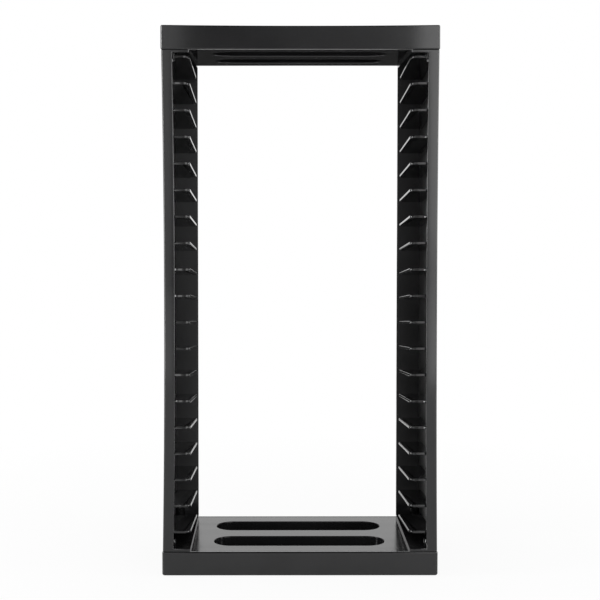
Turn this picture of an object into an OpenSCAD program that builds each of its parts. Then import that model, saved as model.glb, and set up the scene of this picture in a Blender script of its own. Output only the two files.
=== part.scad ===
// Open storage tower for flat cases: two channel-shaped side panels with sloping
// support ribs, held between a hollow top box and a hollow bottom box.
// Width runs along X, depth along Y with the front at -Y, height along Z.
// The origin is at the middle of the footprint, on the surface the tower stands on.

/* [Overall] */
// Width over the top and bottom boxes
body_w = 190; // [150:1:240]
// Depth of the boxes, front to back
body_d = 100; // [84:1:140]
// Height from the standing surface to the top face
body_h = 378; // [150:1:600]

/* [Top and bottom boxes] */
// Thickness of each box, cap and deck together
box_t = 16.5; // [13:0.5:24]
// Radius of the boxes' upright corners
box_corner_r = 2; // [1:0.5:5]
// Wall of the caps
cap_wall = 2; // [1.6:0.2:3]
// Thickness of the decks
deck_t = 2.2; // [1.6:0.2:3]
// Gap round a deck inside its cap's skirt
deck_gap = 0.25; // [0.1:0.05:0.5]

/* [Recesses in the decks] */
// Length of a recess, end to end
recess_l = 121; // [80:1:128]
// Width of a recess, which is also its end diameter
recess_w = 25; // [16:1:27]
// Distance of each recess's centre line from the middle of the deck
recess_y = 21; // [18:0.5:24]
// Wall and floor of the cup that hangs below a recess
cup_wall = 1.5; // [1.2:0.1:2]
// Gap between a cup's floor and the inside of the cap
cup_gap = 1; // [0.5:0.1:4]

/* [Side panels] */
// How far a panel's faces stand in from the boxes' faces
panel_inset = 0.4; // [0.2:0.1:1]
// Depth of a panel's channel, from its outer face to the inner edges of its ribs
channel_w = 19; // [14:0.1:22]
// Outer wall of a panel
panel_wall = 2; // [1.6:0.2:3]
// Radius of a panel's outer upright edges
panel_corner_r = 1.6; // [0.6:0.2:3]
// Radius of the flanges' and back wall's inner upright edges
flange_corner_r = 0.8; // [0.2:0.2:1.5]
// Width of the front lip
lip_w = 7.4; // [6.4:0.2:9]
// Thickness of the front lip
lip_t = 2; // [1.6:0.2:3]
// Thickness of the back wall, which stops the cases
back_t = 2; // [1.6:0.2:3]
// Thickness of the top and bottom flanges
flange_t = 2; // [1.6:0.2:3]

/* [Ribs] */
// Height from one rib to the next
rib_pitch = 18.2; // [15:0.1:18.5]
// Thickness of a rib
rib_t = 1.8; // [1.2:0.1:2.4]
// Slope of the ribs, falling towards the back
rib_slope = 5.3; // [2:0.1:6]
// Distance from the panel's front face to the ribs' front edges
rib_setback = 5; // [3:0.5:10]
// Distance from the ribs' rear edges to the panel's back face
rib_rear_gap = 16; // [9:0.5:24]
// Radius of a rib's two free corners
rib_corner_r = 5; // [2:0.5:8]

/* [Fasteners and press pins] */
// Radius of a screw's shank
screw_r = 1.45; // [1.2:0.05:1.6]
// Length of a screw under its head
screw_l = 10; // [8:0.5:10]
// Radius of a screw's head
screw_head_r = 2.6; // [2.2:0.1:2.8]
// Height of a screw's head
screw_head_t = 2; // [1.4:0.1:2.4]
// Radial clearance of a screw in its boss
screw_fit = 0.05; // [0.02:0.01:0.1]
// Radial clearance of a screw in the deck
deck_hole_fit = 0.25; // [0.1:0.05:0.4]
// Outer radius of a screw boss
boss_r = 3.6; // [3:0.1:4]
// Height of a screw boss, its flange included
boss_h = 8; // [7:0.5:9]
// Radius of the deck's press pins
pin_r = 1.5; // [1:0.1:2]
// Distance of the corner pins from the skirts' inner faces
pin_inset = 18; // [14:0.5:22]
// Gap between a pin's end and the floor of its socket
pin_end_gap = 1.3; // [0.5:0.1:3]
// Radial clearance of a press pin in its socket
pin_fit = 0.04; // [0.02:0.01:0.1]
// Wall of the sockets that hold the press pins
socket_wall = 1.5; // [1:0.1:2]
// Height of the solid base under a socket's bore
socket_base = 3; // [2:0.5:4]

/* [Feet] */
// Radius of a foot pad
pad_r = 6; // [4:0.5:8]
// Thickness of a foot pad
pad_t = 1.6; // [1.2:0.1:2.4]
// How far the pads stand out below the bottom cap
pad_stand = 0.8; // [0.4:0.1:1]
// Gap round a pad in its seat
pad_fit = 0.2; // [0.1:0.05:0.4]
// Distance of a pad's centre from the box's side and end faces
pad_inset = 14; // [11:1:20]

/* [Hidden] */
$fn = 64;
eps = 0.5;                                   // overrun of cuts and joins

case_black = "#1c1c1e";
deck_black = "#202022";
steel_grey = "#8e9094";
rubber_black = "#2b2b2b";

panel_h = body_h - pad_stand - 2 * box_t;    // from deck to deck
panel_x = body_w / 2 - panel_inset;          // outer face of the right panel
panel_y = body_d / 2 - panel_inset;          // back face of a panel
inner_x = panel_x - channel_w;               // inner edges of the right panel's ribs
deck_w = body_w - 2 * (cap_wall + deck_gap);
deck_d = body_d - 2 * (cap_wall + deck_gap);
deck_back = box_t - deck_t;                  // hidden face of a deck, from the box's outer face
recess_depth = box_t - cap_wall - cup_gap - cup_wall;
socket_floor = cap_wall + socket_base;
pin_l = deck_back - socket_floor - pin_end_gap;

// Ribs on each panel: as many as fit between the flanges. A rib stands highest at its
// front edge.
rib_rise = (panel_y - rib_setback) * tan(rib_slope);
rib_reach = panel_h / 2 - flange_t - rib_rise - rib_t;
rib_count = floor(2 * rib_reach / rib_pitch) + 1;
rib_root_r = 0.2;                            // rib corners that lie inside the panel's wall

// A boss sinks this far into the walls beside it
boss_bite = 0.4;
boss_x = panel_x - panel_wall - boss_r + boss_bite;
boss_front_y = -panel_y + lip_t + boss_r - boss_bite;
boss_rear_y = panel_y - back_t - boss_r + boss_bite;
boss_places = [for (sx = [-1, 1], y = [boss_front_y, boss_rear_y]) [sx * boss_x, y]];

// Press pins: one near each corner between the recesses' ends and the screws,
// and two on the middle line between the recesses
pin_x = (recess_l / 2 + cup_wall + boss_x) / 2;
pin_y = body_d / 2 - cap_wall - pin_inset;
pin_mid_x = recess_l / 4;
pin_places = concat(
    [for (sx = [-1, 1], sy = [-1, 1]) [sx * pin_x, sy * pin_y]],
    [for (sx = [-1, 1]) [sx * pin_mid_x, 0]]
);

pad_places = [for (sx = [-1, 1], sy = [-1, 1])
    [sx * (body_w / 2 - pad_inset), sy * (body_d / 2 - pad_inset)]];

module rounded_rect(w, d, r) {
    square([w - 2 * r, d], center = true);
    square([w, d - 2 * r], center = true);
    for (sx = [-1, 1], sy = [-1, 1])
        translate([sx * (w / 2 - r), sy * (d / 2 - r)]) circle(r);
}

module stadium(l, w) {
    square([l - w, w], center = true);
    for (sx = [-1, 1]) translate([sx * (l - w) / 2, 0]) circle(w / 2);
}

// Rectangle from (x0, y0) to (x1, y1) with its low-x corners rounded by r_low
// and its high-x corners by r_high
module side_rounded_rect(x0, y0, x1, y1, r_low, r_high) {
    translate([x0 + r_low, y0]) square([x1 - x0 - r_low - r_high, y1 - y0]);
    translate([x0, y0 + r_low]) square([r_low + eps, y1 - y0 - 2 * r_low]);
    translate([x1 - r_high - eps, y0 + r_high])
        square([r_high + eps, y1 - y0 - 2 * r_high]);
    for (y = [y0 + r_low, y1 - r_low]) translate([x0 + r_low, y]) circle(r_low);
    for (y = [y0 + r_high, y1 - r_high]) translate([x1 - r_high, y]) circle(r_high);
}

// Tray that forms a box's outer face and skirt, outer face down at z = 0
module cap(seats) {
    difference() {
        union() {
            difference() {
                linear_extrude(box_t) rounded_rect(body_w, body_d, box_corner_r);
                translate([0, 0, cap_wall]) linear_extrude(box_t)
                    square([body_w - 2 * cap_wall, body_d - 2 * cap_wall], center = true);
            }
            for (p = pin_places) translate([p.x, p.y, cap_wall - eps])
                cylinder(r = pin_r + pin_fit + socket_wall, h = deck_back - cap_wall + eps);
        }
        for (p = pin_places) translate([p.x, p.y, socket_floor])
            cylinder(r = pin_r + pin_fit, h = box_t);
        for (p = seats) translate([p.x, p.y, -eps])
            cylinder(r = pad_r + pad_fit, h = pad_t - pad_stand + eps);
    }
}

// Plate with two recesses that closes a box on its inner side, its face up at z = box_t
module deck() {
    difference() {
        union() {
            translate([0, 0, deck_back]) linear_extrude(deck_t)
                square([deck_w, deck_d], center = true);
            for (sy = [-1, 1])
                translate([0, sy * recess_y, box_t - recess_depth - cup_wall])
                    linear_extrude(recess_depth)
                        stadium(recess_l + 2 * cup_wall, recess_w + 2 * cup_wall);
            for (p = pin_places) translate([p.x, p.y, deck_back - pin_l])
                cylinder(r = pin_r, h = pin_l + eps);
        }
        for (sy = [-1, 1])
            translate([0, sy * recess_y, box_t - recess_depth])
                linear_extrude(recess_depth + eps) stadium(recess_l, recess_w);
        for (p = boss_places) translate([p.x, p.y, deck_back - eps])
            cylinder(r = screw_r + deck_hole_fit, h = deck_t + 2 * eps);
    }
}

// Screws that hold the panels to a deck, heads inside the box
module screw_set() {
    driver_w = 0.7;                          // cross-shaped driver slot in the head
    driver_reach = screw_head_r * 0.6;
    driver_depth = 1;
    for (p = boss_places) translate([p.x, p.y, deck_back]) {
        cylinder(r = screw_r, h = screw_l);
        translate([0, 0, -screw_head_t]) difference() {
            cylinder(r = screw_head_r, h = screw_head_t);
            for (turn = [0, 90]) rotate([0, 0, turn])
                translate([-driver_reach, -driver_w / 2, -eps])
                    cube([2 * driver_reach, driver_w, driver_depth + eps]);
        }
    }
}

module channel_plan() {
    difference() {
        side_rounded_rect(inner_x, -panel_y, panel_x, panel_y, flange_corner_r, panel_corner_r);
        translate([inner_x - eps, -panel_y + lip_t])
            square([channel_w - panel_wall + eps, 2 * panel_y - lip_t - back_t]);
        translate([inner_x - eps, -panel_y - eps])
            square([channel_w - lip_w + eps, lip_t + 2 * eps]);
    }
}

module rib() {
    rotate([-rib_slope, 0, 0]) translate([0, 0, -rib_t / 2]) linear_extrude(rib_t)
        side_rounded_rect(inner_x, -panel_y + rib_setback, panel_x - panel_wall / 2,
                          panel_y - rib_rear_gap, rib_corner_r, rib_root_r);
}

module right_panel() {
    translate([0, 0, pad_stand + box_t]) difference() {
        union() {
            linear_extrude(panel_h) channel_plan();
            for (z = [0, panel_h - flange_t]) translate([0, 0, z])
                linear_extrude(flange_t)
                    side_rounded_rect(inner_x, -panel_y, panel_x, panel_y,
                                      flange_corner_r, panel_corner_r);
            for (i = [0 : rib_count - 1])
                translate([0, 0, panel_h / 2 + (i - (rib_count - 1) / 2) * rib_pitch]) rib();
            for (y = [boss_front_y, boss_rear_y], z = [0, panel_h - boss_h])
                translate([boss_x, y, z]) cylinder(r = boss_r, h = boss_h);
        }
        for (y = [boss_front_y, boss_rear_y], z = [-eps, panel_h - boss_h - eps])
            translate([boss_x, y, z])
                cylinder(r = screw_r + screw_fit, h = boss_h + 2 * eps);
    }
}

// The top box is the bottom box turned over
module at_bottom() { translate([0, 0, pad_stand]) children(); }
module at_top() { translate([0, 0, body_h]) mirror([0, 0, 1]) children(); }

module top_cap() { color(case_black) at_top() cap([]); }
module top_deck() { color(deck_black) at_top() deck(); }
module bottom_deck() { color(deck_black) at_bottom() deck(); }
module bottom_cap() { color(case_black) at_bottom() cap(pad_places); }
module right_side_panel() { color(case_black) right_panel(); }
module left_side_panel() { color(case_black) mirror([1, 0, 0]) right_panel(); }
module top_screws() { color(steel_grey) at_top() screw_set(); }
module bottom_screws() { color(steel_grey) at_bottom() screw_set(); }
module foot_pads() {
    color(rubber_black) for (p = pad_places) translate([p.x, p.y, 0])
        cylinder(r = pad_r, h = pad_t);
}

top_cap();
top_deck();
bottom_deck();
bottom_cap();
left_side_panel();
right_side_panel();
top_screws();
bottom_screws();
foot_pads();
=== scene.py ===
"""Looks of an open storage tower for flat cases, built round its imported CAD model.

The mouldings are the CAD meshes with their edges rounded and the slight bow of real
moulded parts. All sizes are in metres, in the CAD model's own frame.
"""
import math

import bmesh
import bpy
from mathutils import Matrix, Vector


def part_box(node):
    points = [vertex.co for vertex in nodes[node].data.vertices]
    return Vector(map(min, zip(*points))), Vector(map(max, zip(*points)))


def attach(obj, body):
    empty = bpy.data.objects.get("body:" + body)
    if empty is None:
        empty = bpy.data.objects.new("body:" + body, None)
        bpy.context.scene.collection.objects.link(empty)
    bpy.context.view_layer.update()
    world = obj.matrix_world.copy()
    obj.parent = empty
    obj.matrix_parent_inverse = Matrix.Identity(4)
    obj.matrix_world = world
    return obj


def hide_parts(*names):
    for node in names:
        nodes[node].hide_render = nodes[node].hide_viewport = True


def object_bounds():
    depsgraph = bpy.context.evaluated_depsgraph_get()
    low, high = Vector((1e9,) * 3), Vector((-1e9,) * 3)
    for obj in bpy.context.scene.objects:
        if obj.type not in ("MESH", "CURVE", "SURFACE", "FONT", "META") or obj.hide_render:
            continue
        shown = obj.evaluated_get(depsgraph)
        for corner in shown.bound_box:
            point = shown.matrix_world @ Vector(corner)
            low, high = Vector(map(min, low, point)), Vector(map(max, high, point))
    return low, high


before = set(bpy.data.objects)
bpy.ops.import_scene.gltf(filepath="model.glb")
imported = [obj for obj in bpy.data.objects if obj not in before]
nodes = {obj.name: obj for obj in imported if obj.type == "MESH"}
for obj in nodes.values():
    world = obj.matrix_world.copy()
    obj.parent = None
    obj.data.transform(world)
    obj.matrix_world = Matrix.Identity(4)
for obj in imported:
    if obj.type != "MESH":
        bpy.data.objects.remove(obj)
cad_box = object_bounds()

MM = 0.001
WELD = 1e-6
WIDEST_RADIUS = 2 * MM
BEVEL_SEGMENTS = 4

# ---------------------------------------------------------------- where things are
low, high = cad_box
WIDTH, DEPTH, _ = high - low
BOTTOM_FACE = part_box("bottom_cap")[0].z
BOTTOM_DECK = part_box("bottom_deck")[1].z
TOP_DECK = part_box("top_deck")[0].z
TOP_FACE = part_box("top_cap")[1].z
PANEL_LOW, PANEL_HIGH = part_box("right_side_panel")
WALL = 2 * MM
SKIN = 1.9 * MM  # an edge on the outer skin lies this near the outside, or nearer


# ---------------------------------------------------------------- mesh helpers
def near(a, b, gap=0.05 * MM):
    return abs(a - b) < gap


def is_convex_edge(edge):
    """True for an outside corner of at least 30 degrees."""
    if len(edge.link_faces) != 2:
        return False
    return edge.calc_face_angle_signed(0.0) > math.radians(30)


def cut_across(bm, axis, places):
    """Adds rows of vertices in planes across an axis, so that long faces can bow."""
    normal = Vector([1.0 if i == axis else 0.0 for i in range(3)])
    for place in places:
        everything = bm.verts[:] + bm.edges[:] + bm.faces[:]
        bmesh.ops.bisect_plane(bm, geom=everything, plane_co=normal * place, plane_no=normal)


def steps(start, end, count):
    """Evenly spaced places between two ends, without the ends."""
    return [start + (end - start) * (i + 1) / (count + 1) for i in range(count)]


def moulding(name, node, radius_of, cuts, bow):
    """A copy of a CAD node with rounded edges, kept within the node's own box.
    radius_of(edge) gives an edge's radius in metres or 0, cuts is (axis, places), and
    bow(co) gives how far a point moves."""
    bm = bmesh.new()
    bm.from_mesh(nodes[node].data)
    bmesh.ops.remove_doubles(bm, verts=bm.verts, dist=WELD)
    bmesh.ops.dissolve_limit(bm, angle_limit=math.radians(0.5), verts=bm.verts, edges=bm.edges)
    cut_across(bm, *cuts)
    weight = bm.edges.layers.float.new("bevel_weight_edge")
    for edge in bm.edges:
        edge[weight] = radius_of(edge) / WIDEST_RADIUS
    mesh = bpy.data.meshes.new(name)
    bm.to_mesh(mesh)
    bm.free()
    piece = bpy.data.objects.new(name, mesh)
    bpy.context.scene.collection.objects.link(piece)
    bevel = piece.modifiers.new("round edges", "BEVEL")
    bevel.limit_method = "WEIGHT"
    bevel.width = WIDEST_RADIUS
    bevel.segments = BEVEL_SEGMENTS
    bevel.use_clamp_overlap = False
    bevel.loop_slide = False
    bpy.context.view_layer.update()
    shaped = bpy.data.meshes.new_from_object(
        piece.evaluated_get(bpy.context.evaluated_depsgraph_get()))
    piece.modifiers.clear()
    piece.data = shaped
    bpy.data.meshes.remove(mesh)
    shaped.name = name
    smallest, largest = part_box(node)
    for vertex in shaped.vertices:
        moved = vertex.co + bow(vertex.co)
        vertex.co = [min(max(c, a), b) for c, a, b in zip(moved, smallest, largest)]
    finish_mesh(piece)
    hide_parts(node)
    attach(piece, "root")
    return piece


def finish_mesh(piece):
    for polygon in piece.data.polygons:
        polygon.use_smooth = True
    piece.data.set_sharp_from_angle(angle=math.radians(40))
    normals = piece.modifiers.new("flat faces stay flat", "WEIGHTED_NORMAL")
    normals.keep_sharp = True
    normals.weight = 100
    normals.thresh = 0.01


# ---------------------------------------------------------------- caps
FINE_R = 0.3 * MM


def edge_in_plane(edge, axis, place):
    return all(near(v.co[axis], place) for v in edge.verts)


def middle_of(edge):
    return (edge.verts[0].co + edge.verts[1].co) / 2


def cap_radius(face, rim, face_r, rim_r):
    def radius(edge):
        if not is_convex_edge(edge):
            return 0.0
        middle = middle_of(edge)
        outside = abs(middle.x) > WIDTH / 2 - SKIN or abs(middle.y) > DEPTH / 2 - SKIN
        if edge_in_plane(edge, 2, face):
            return face_r if outside else FINE_R
        if edge_in_plane(edge, 2, rim) and outside:
            return rim_r
        return 0.0
    return radius


def cap_bow(face, rim, depth):
    """The outer face sinks by depth at the middle of its length, the rim stays."""
    def bow(co):
        along = 1 - min(1.0, (co.x / (WIDTH / 2)) ** 2)
        share = (co.z - rim) / (face - rim)
        return Vector((0, 0, math.copysign(depth, rim - face) * along * share))
    return bow


# ---------------------------------------------------------------- decks
DECK_RIM = 4 * MM
RECESS_REACH = 65 * MM
MOUTH_R = 0.6 * MM


def deck_radius(face):
    def radius(edge):
        if not is_convex_edge(edge) or not edge_in_plane(edge, 2, face):
            return 0.0
        middle = middle_of(edge)
        if abs(middle.x) > WIDTH / 2 - DECK_RIM or abs(middle.y) > DEPTH / 2 - DECK_RIM:
            return FINE_R
        return MOUTH_R if abs(middle.x) < RECESS_REACH else 0.0
    return radius


def no_bow(co):
    return Vector()


# ---------------------------------------------------------------- side panels
RIB_COUNT = 19
RIB_PITCH = 18.2 * MM
RIB_START, RIB_STOP = 4 * MM, 14 * MM  # no rib lies nearer the front or the back than this
FLANGE_FREE = 17.5 * MM  # beyond this from the outside there is only the flange's free corner
BOSS_NEAR, BOSS_FAR = 2.1 * MM, 8.9 * MM
BOSS_ZONE = 9 * MM
LIP_DEPTH = 2.2 * MM
LIP_WIDTH = 7 * MM
UPRIGHT = 4 * MM

END_R = 0.6 * MM
LIP_R = 0.7 * MM
OUTER_FRONT_R = 0.9 * MM
RIB_FRONT_R, RIB_SIDE_R = 0.3 * MM, 0.7 * MM
OTHER_R = 0.4 * MM


def panel_radius(edge):
    if not is_convex_edge(edge):
        return 0.0
    middle = middle_of(edge)
    inward, y, z = PANEL_HIGH.x - abs(middle.x), middle.y, middle.z
    behind_front, before_back = y + PANEL_HIGH.y, PANEL_HIGH.y - y
    to_end = min(z - PANEL_LOW.z, PANEL_HIGH.z - z)
    if to_end < WALL + 0.1 * MM and inward > FLANGE_FREE:
        return 0.0
    if edge_in_plane(edge, 2, PANEL_LOW.z) or edge_in_plane(edge, 2, PANEL_HIGH.z):
        return END_R if min(inward, behind_front, before_back) < SKIN else 0.0
    if to_end < BOSS_ZONE and BOSS_NEAR < inward < BOSS_FAR:
        if min(behind_front, before_back) < BOSS_ZONE:
            return 0.0
    upright = abs(edge.verts[0].co.z - edge.verts[1].co.z) > UPRIGHT
    if upright and behind_front < LIP_DEPTH and inward > LIP_WIDTH:
        return LIP_R if behind_front < 1 * MM else FINE_R
    if inward > BOSS_NEAR and behind_front > RIB_START and before_back > RIB_STOP:
        along = edge.verts[1].co - edge.verts[0].co
        rib_front = abs(along.x) > 2 * abs(along.y) and y < 0
        return RIB_FRONT_R if rib_front else RIB_SIDE_R
    if upright and behind_front < 1 * MM and inward < 1 * MM:
        return OUTER_FRONT_R
    return OTHER_R


def panel_bow(depth):
    """The front edge bows inward at mid-height, the back edge stays straight."""
    def bow(co):
        middle = (PANEL_LOW.z + PANEL_HIGH.z) / 2
        half = (PANEL_HIGH.z - PANEL_LOW.z) / 2
        along = 1 - ((co.z - middle) / half) ** 2
        share = (PANEL_HIGH.y - co.y) / (PANEL_HIGH.y * 2)
        return Vector((-math.copysign(depth * along * share, co.x), 0, 0))
    return bow


# ---------------------------------------------------------------- materials
class Nodes:
    """Short names for building a material's node tree."""

    def __init__(self, name):
        self.material = bpy.data.materials.new(name)
        self.material.use_nodes = True
        self.tree = self.material.node_tree
        self.shader = self.tree.nodes["Principled BSDF"]
        self.place = self.tree.nodes.new("ShaderNodeTexCoord").outputs["Object"]

    def new(self, kind, **settings):
        made = self.tree.nodes.new("ShaderNode" + kind)
        for key, value in settings.items():
            setattr(made, key, value)
        return made

    def link(self, source, target):
        self.tree.links.new(source, target)

    def noise(self, scale, detail=2.0, stretch=(1, 1, 1)):
        mapping = self.new("Mapping")
        mapping.inputs["Scale"].default_value = stretch
        texture = self.new("TexNoise")
        texture.inputs["Scale"].default_value = scale
        texture.inputs["Detail"].default_value = detail
        self.link(self.place, mapping.inputs["Vector"])
        self.link(mapping.outputs["Vector"], texture.inputs["Vector"])
        return texture.outputs["Fac"]

    def spread(self, source, low_value, high_value):
        """Noise from about 0.3 to 0.7 becomes low_value to high_value."""
        span = self.new("MapRange")
        span.inputs["From Min"].default_value = 0.3
        span.inputs["From Max"].default_value = 0.7
        span.inputs["To Min"].default_value = low_value
        span.inputs["To Max"].default_value = high_value
        self.link(source, span.inputs["Value"])
        return span.outputs["Result"]

    def bump(self, source, distance, strength=1.0, after=None):
        bump = self.new("Bump")
        bump.inputs["Strength"].default_value = strength
        bump.inputs["Distance"].default_value = distance
        self.link(source, bump.inputs["Height"])
        if after is not None:
            self.link(after, bump.inputs["Normal"])
        return bump.outputs["Normal"]

    def edges(self):
        """0 on flat faces, up to 1 on outside edges."""
        ramp = self.new("MapRange")
        ramp.inputs["From Min"].default_value = 0.52
        ramp.inputs["From Max"].default_value = 0.62
        self.link(self.new("NewGeometry").outputs["Pointiness"], ramp.inputs["Value"])
        return ramp.outputs["Result"]

    def mix(self, factor, colour_a, colour_b):
        mixed = self.new("Mix", data_type="RGBA")
        mixed.inputs["A"].default_value = (*colour_a, 1)
        mixed.inputs["B"].default_value = (*colour_b, 1)
        self.link(factor, mixed.inputs["Factor"])
        return mixed.outputs["Result"]


PLASTIC_DARK = (0.0075, 0.0075, 0.008)
PLASTIC_LIGHT = (0.011, 0.011, 0.0115)
PLASTIC_WORN = (0.03, 0.03, 0.031, 1)


def black_plastic(name, roughness, streaks, streak_depth, painted_light_factor=1.0):
    """Glossy black moulded plastic: flow streaks, a faint ripple and slightly worn edges. The
    last argument makes the base colour paler, which paints in light that falls on the surface.
    """
    n = Nodes(name)
    cloud = n.noise(35)
    streak = n.noise(60, stretch=streaks)
    fine = n.noise(2200, detail=1)
    dark = [painted_light_factor * part for part in PLASTIC_DARK]
    light = [painted_light_factor * part for part in PLASTIC_LIGHT]
    base = n.mix(n.spread(cloud, 0, 1), dark, light)
    worn = n.new("Mix", data_type="RGBA")
    n.link(base, worn.inputs["A"])
    worn.inputs["B"].default_value = PLASTIC_WORN
    wear = n.new("Math", operation="MULTIPLY")
    n.link(n.edges(), wear.inputs[0])
    n.link(n.spread(n.noise(180), 0, 0.6), wear.inputs[1])
    n.link(wear.outputs[0], worn.inputs["Factor"])
    n.link(worn.outputs["Result"], n.shader.inputs["Base Color"])
    n.link(n.spread(streak, roughness * 0.8, roughness * 1.25), n.shader.inputs["Roughness"])
    rippled = n.bump(streak, streak_depth)
    n.link(n.bump(fine, 0.000004, after=rippled), n.shader.inputs["Normal"])
    n.shader.inputs["IOR"].default_value = 1.5
    return n.material


def zinc_steel(name):
    n = Nodes(name)
    turned = n.noise(900, stretch=(1, 1, 6))
    n.link(n.mix(n.spread(n.noise(120), 0, 1), (0.40, 0.40, 0.41), (0.52, 0.52, 0.53)),
           n.shader.inputs["Base Color"])
    n.link(n.spread(turned, 0.24, 0.42), n.shader.inputs["Roughness"])
    n.link(n.bump(turned, 0.00001), n.shader.inputs["Normal"])
    n.shader.inputs["Metallic"].default_value = 1.0
    return n.material


def pad_rubber(name):
    n = Nodes(name)
    grain = n.noise(1500, detail=3)
    n.link(n.mix(n.spread(n.noise(150), 0, 1), (0.022, 0.022, 0.022), (0.036, 0.036, 0.035)),
           n.shader.inputs["Base Color"])
    n.link(n.spread(grain, 0.68, 0.85), n.shader.inputs["Roughness"])
    n.link(n.bump(grain, 0.00004), n.shader.inputs["Normal"])
    return n.material


def dress(piece, material):
    piece.data.materials.clear()
    piece.data.materials.append(material)


def dress_inside(piece, material, is_inside):
    """Gives the faces whose middle is_inside() accepts a second material."""
    piece.data.materials.append(material)
    for polygon in piece.data.polygons:
        if is_inside(polygon.center, polygon.normal):
            polygon.material_index = 1


def on_inner_wall(middle, normal):
    """The inside of a panel's outer wall and back wall, between the ribs, where the paler base
    colour paints in light.
    """
    beside_wall = near(abs(middle.x), PANEL_HIGH.x - WALL, 1.8 * MM)
    beside_back = near(middle.y, PANEL_HIGH.y - WALL, 0.3 * MM)
    facing_in = abs(normal.x) > 0.9 and normal.x * middle.x < 0
    return (beside_wall and facing_in) or (beside_back and normal.y < -0.9)


case_black = black_plastic("case black", 0.08, (0.15, 1, 1), 0.00003)
deck_black = black_plastic("deck black", 0.17, (0.05, 1, 1), 0.00003)
deck_smooth = black_plastic("deck black smooth", 0.07, (0.05, 1, 1), 0.00001)
panel_black = black_plastic("panel black", 0.08, (1, 1, 0.05), 0.00003)
# Inner walls: the higher roughness is the real matte inside, and the 1.8 times paler base
# colour is painted light standing in for light gathered in the pockets.
panel_inner_painted_light = black_plastic("panel black inside, painted paler", 0.42, (1, 1, 0.05), 0.00003, 1.8)
steel = zinc_steel("zinc steel")
rubber = pad_rubber("pad rubber")

# ---------------------------------------------------------------- pieces
CAP_CUTS = (0, steps(-WIDTH / 2, WIDTH / 2, 15))
bottom_cap = moulding("bottom_cap_moulding", "bottom_cap",
                      cap_radius(BOTTOM_FACE, BOTTOM_DECK, 1.2 * MM, 0.9 * MM),
                      CAP_CUTS, cap_bow(BOTTOM_FACE, BOTTOM_DECK, 0.0))
top_cap = moulding("top_cap_moulding", "top_cap",
                   cap_radius(TOP_FACE, TOP_DECK, 0.9 * MM, 1.0 * MM),
                   CAP_CUTS, cap_bow(TOP_FACE, TOP_DECK, 0.6 * MM))
DECK_CUTS = (0, [])
bottom_deck = moulding("bottom_deck_moulding", "bottom_deck", deck_radius(BOTTOM_DECK),
                       DECK_CUTS, no_bow)
top_deck = moulding("top_deck_moulding", "top_deck", deck_radius(TOP_DECK),
                    DECK_CUTS, no_bow)
middle_z = (PANEL_LOW.z + PANEL_HIGH.z) / 2
PANEL_CUTS = (2, [middle_z + (i - RIB_COUNT / 2) * RIB_PITCH for i in range(1, RIB_COUNT)])
FRONT_BOW = {"left": 1.5 * MM, "right": 0.9 * MM}
panels = [moulding(side + "_panel_moulding", side + "_side_panel", panel_radius,
                   PANEL_CUTS, panel_bow(bow)) for side, bow in FRONT_BOW.items()]

for piece in (bottom_cap, top_cap):
    dress(piece, case_black)
dress(bottom_deck, deck_black)
dress(top_deck, deck_smooth)
for piece in panels:
    dress(piece, panel_black)
    # The inner walls get the matte copy, whose paler colour is painted light.
    dress_inside(piece, panel_inner_painted_light, on_inner_wall)
for name in ("top_screws", "bottom_screws"):
    dress(nodes[name], steel)
dress(nodes["foot_pads"], rubber)


# ---------------------------------------------------------------- stage
FLOOR_HALF = 1.8
FLOOR_CENTRE_Y = -1.1
NEAR_WHITE = (0.12, 0.5, 0.92, 1.0)  # distance from, to; share of plain white from, to
GLOSSY_WHITE = 0.05


def feed(tree, value, socket):
    """Links an output to a socket, or sets the socket to a number."""
    if isinstance(value, (int, float)):
        socket.default_value = value
    else:
        tree.links.new(value, socket)


def maths(tree, operation, *values):
    made = tree.nodes.new("ShaderNodeMath")
    made.operation = operation
    for value, socket in zip(values, made.inputs):
        feed(tree, value, socket)
    return made.outputs[0]


def ramp(tree, value, points, interpolation="SMOOTHSTEP"):
    """points are where the ramp starts and ends, and its value at each."""
    made = tree.nodes.new("ShaderNodeMapRange")
    made.interpolation_type = interpolation
    for key, number in zip(("From Min", "From Max", "To Min", "To Max"), points):
        made.inputs[key].default_value = number
    tree.links.new(value, made.inputs["Value"])
    return made.outputs["Result"]


def blend(tree, factor, first, second):
    made = tree.nodes.new("ShaderNodeMixShader")
    for output, socket in zip((factor, first.outputs[0], second.outputs[0]), made.inputs):
        tree.links.new(output, socket)
    return made


def mirrored_ray(tree, path):
    return maths(tree, "MAXIMUM", path.outputs["Is Glossy Ray"],
                 path.outputs["Is Transmission Ray"])


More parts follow.
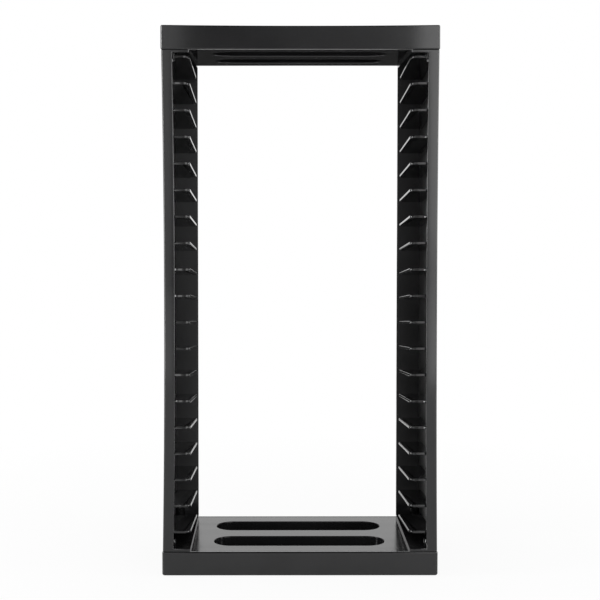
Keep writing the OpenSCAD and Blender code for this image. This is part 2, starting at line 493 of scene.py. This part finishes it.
def pale_floor():
    """White to the camera apart from the tower's shadow, and clear from below."""
    bm = bmesh.new()
    bmesh.ops.create_grid(bm, x_segments=1, y_segments=1, size=FLOOR_HALF)
    bmesh.ops.translate(bm, verts=bm.verts, vec=(0, FLOOR_CENTRE_Y, low.z))
    mesh = bpy.data.meshes.new("floor")
    bm.to_mesh(mesh)
    bm.free()
    floor = bpy.data.objects.new("floor", mesh)
    bpy.context.scene.collection.objects.link(floor)
    material = bpy.data.materials.new("pale floor")
    material.use_nodes = True
    tree = material.node_tree
    shader = tree.nodes["Principled BSDF"]
    shader.inputs["Base Color"].default_value = (0.82, 0.82, 0.82, 1)
    shader.inputs["Roughness"].default_value = 0.7
    white = tree.nodes.new("ShaderNodeEmission")
    distance = tree.nodes.new("ShaderNodeVectorMath")
    distance.operation = "LENGTH"
    place = tree.nodes.new("ShaderNodeTexCoord").outputs["Object"]
    tree.links.new(place, distance.inputs[0])
    whiter = ramp(tree, distance.outputs["Value"], NEAR_WHITE, "LINEAR")
    path = tree.nodes.new("ShaderNodeLightPath")
    seen = maths(tree, "MULTIPLY", path.outputs["Is Camera Ray"], whiter)
    share = maths(tree, "MULTIPLY_ADD", mirrored_ray(tree, path), GLOSSY_WHITE, seen)
    surface = blend(tree, share, shader, white)
    clear = tree.nodes.new("ShaderNodeBsdfTransparent")
    side = tree.nodes.new("ShaderNodeNewGeometry")
    whole = blend(tree, side.outputs["Backfacing"], surface, clear)
    tree.links.new(whole.outputs[0], tree.nodes["Material Output"].inputs["Surface"])
    mesh.materials.append(material)


def studio_world():
    """White to the camera; to reflections, a white backdrop behind the tower, a dimmer
    room in front of it, a dark ceiling and a dark floor beyond the table."""
    world = bpy.data.worlds.new("studio")
    bpy.context.scene.world = world
    world.use_nodes = True
    tree = world.node_tree
    tree.nodes.clear()
    split = tree.nodes.new("ShaderNodeSeparateXYZ")
    direction = tree.nodes.new("ShaderNodeTexCoord").outputs["Generated"]
    tree.links.new(direction, split.inputs[0])
    backdrop = ramp(tree, split.outputs["Y"], (0.75, 0.92, 0.0, 1.0))
    sides = ramp(tree, split.outputs["X"], (-0.05, 0.22, 0.24, 0.85))
    ceiling = ramp(tree, split.outputs["Z"], (0.38, 0.62, 1.0, 0.12))
    beyond_table = ramp(tree, split.outputs["Z"], (-0.05, -0.01, 0.03, 1.0))
    round_about = maths(tree, "MAXIMUM", backdrop, sides)
    room = maths(tree, "MULTIPLY", maths(tree, "MULTIPLY", round_about, ceiling), beyond_table)

    def background(strength):
        made = tree.nodes.new("ShaderNodeBackground")
        made.inputs["Color"].default_value = (1, 1, 1, 1)
        feed(tree, strength, made.inputs["Strength"])
        return made

    path = tree.nodes.new("ShaderNodeLightPath")
    unseen = blend(tree, mirrored_ray(tree, path), background(0.55), background(room))
    whole = blend(tree, path.outputs["Is Camera Ray"], unseen, background(1.0))
    output = tree.nodes.new("ShaderNodeOutputWorld")
    tree.links.new(whole.outputs[0], output.inputs["Surface"])


def softbox(name, place, size, towards, radiance):
    """A rectangular lamp. Its power follows from its brightness and area."""
    lamp = bpy.data.lights.new(name, "AREA")
    lamp.shape = "RECTANGLE"
    lamp.size, lamp.size_y = size
    lamp.energy = radiance * math.pi * size[0] * size[1]
    thing = bpy.data.objects.new(name, lamp)
    bpy.context.scene.collection.objects.link(thing)
    thing.location = place
    thing.rotation_euler = (Vector(towards) - Vector(place)).to_track_quat("-Z", "Y").to_euler()
    thing.visible_camera = False


pale_floor()
studio_world()

# name, place, size, what it faces, radiance
for lamp in (
        ("left softbox", (-0.63, -1.0, 0.45), (0.96, 1.1), (-0.63, 0, 0.45), 0.85),
        ("right softbox", (0.67, -1.0, 0.45), (0.96, 1.1), (0.67, 0, 0.45), 2.1),
        ("left strip", (-1.1, -0.25, 0.3), (0.3, 0.9), (0, 0, 0.2), 14.0),
        ("right strip", (1.1, -0.25, 0.3), (0.3, 0.9), (0, 0, 0.2), 8.0)):
    softbox(*lamp)

# ---------------------------------------------------------------- camera
lens = bpy.data.cameras.new("camera")
lens.sensor_width = 36
lens.lens = 74.76
lens.shift_x = 0.0385
lens.shift_y = -0.0737
lens.clip_start = 0.01
camera = bpy.data.objects.new("camera", lens)
bpy.context.scene.collection.objects.link(camera)
camera.location = (-0.0180, -0.8991, 0.2543)
camera.rotation_euler = (math.radians(90 - 2.22), 0, math.radians(-0.14))
bpy.context.scene.camera = camera
bpy.context.scene.view_settings.view_transform = "Standard"
